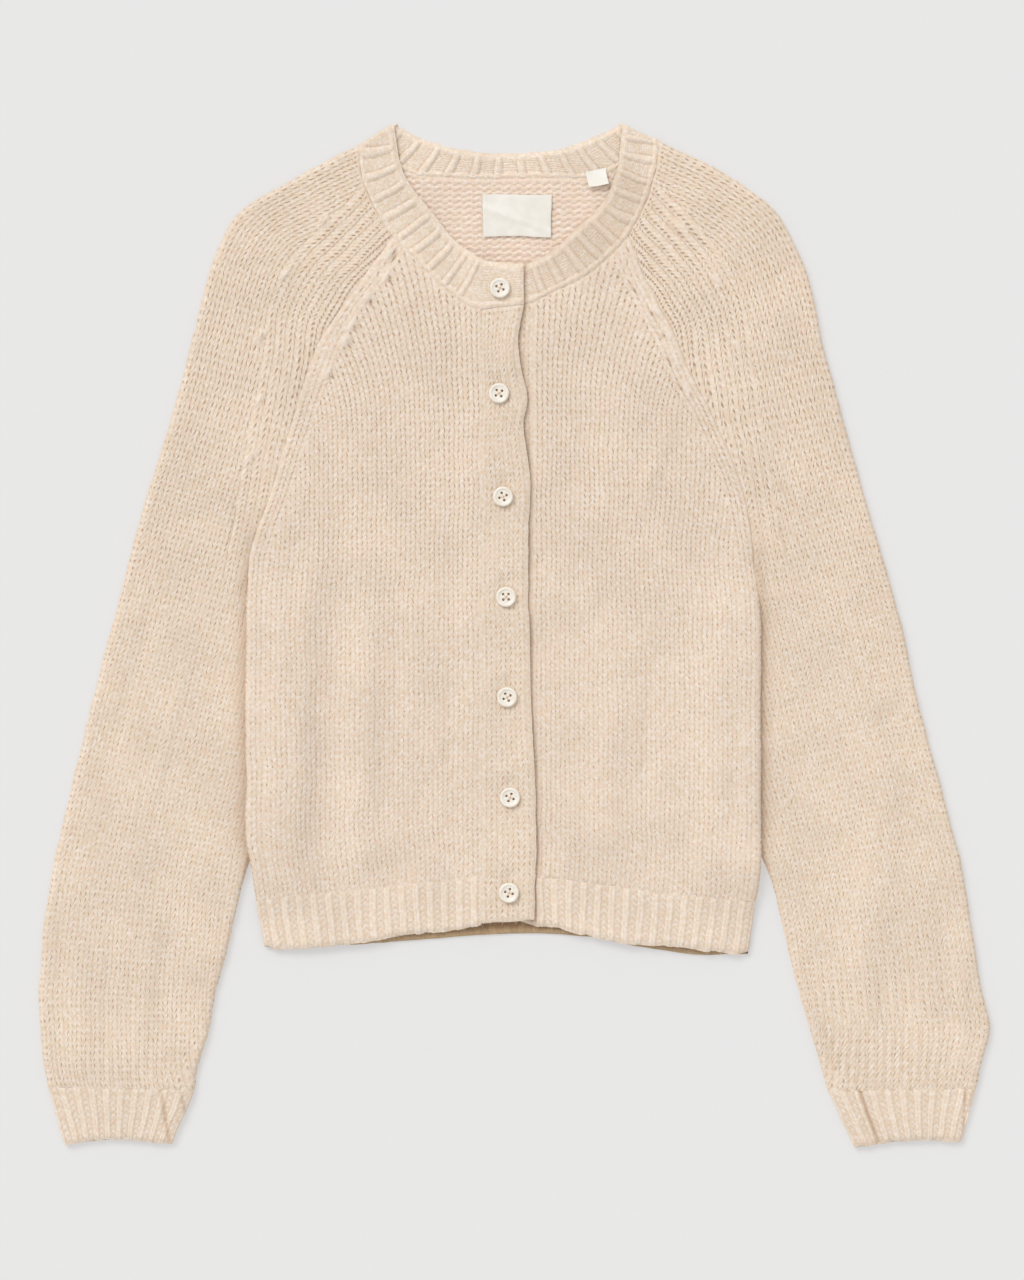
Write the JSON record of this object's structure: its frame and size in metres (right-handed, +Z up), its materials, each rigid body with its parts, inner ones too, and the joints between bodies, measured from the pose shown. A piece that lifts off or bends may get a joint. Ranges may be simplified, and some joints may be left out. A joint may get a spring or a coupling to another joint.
{
  "type": "button cardigan laid flat",
  "caption": "Chunky knitted raglan cardigan, buttoned and laid flat face up, with ribbed neckband, hem and cuffs, a plain button placket and long sleeves beside the body",
  "frame": {"origin": "centre of the outline on the surface that the cardigan lies on", "axes": "+X to the wearer's left, +Y from hem to neck, +Z up out of the surface"},
  "size_m": [0.7116, 0.7674, 0.015],
  "materials": {
    "knit_front": "oatmeal stockinette in a soft brushed chunky yarn",
    "knit_back": "oatmeal stockinette, purl side up, in the same yarn",
    "knit_sleeve": "oatmeal stockinette along the sleeve",
    "knit_rib": "oatmeal wide rib with narrow sunk gaps",
    "knit_band": "oatmeal plain knitted front band",
    "button_resin": "cream resin with a soft gloss and tan sewing thread",
    "label_satin": "cream satin tape, left blank"
  },
  "bodies": {
    "root": {"back": "knit_back", "front_right": "knit_front", "front_left": "knit_front", "hem_rib_back": "knit_rib", "hem_rib_front_right": "knit_rib", "hem_rib_front_left": "knit_rib", "sleeve_right": "knit_sleeve", "sleeve_left": "knit_sleeve", "cuff_right": "knit_rib", "cuff_left": "knit_rib", "neckband": "knit_rib", "buttonhole_band_right": "knit_band", "button_band_left": "knit_band", "button_1": "button_resin", "button_2": "button_resin", "button_3": "button_resin", "button_4": "button_resin", "button_5": "button_resin", "button_6": "button_resin", "button_7": "button_resin", "neck_label": "label_satin", "size_tab": "label_satin"}
  },
  "joints": []
}
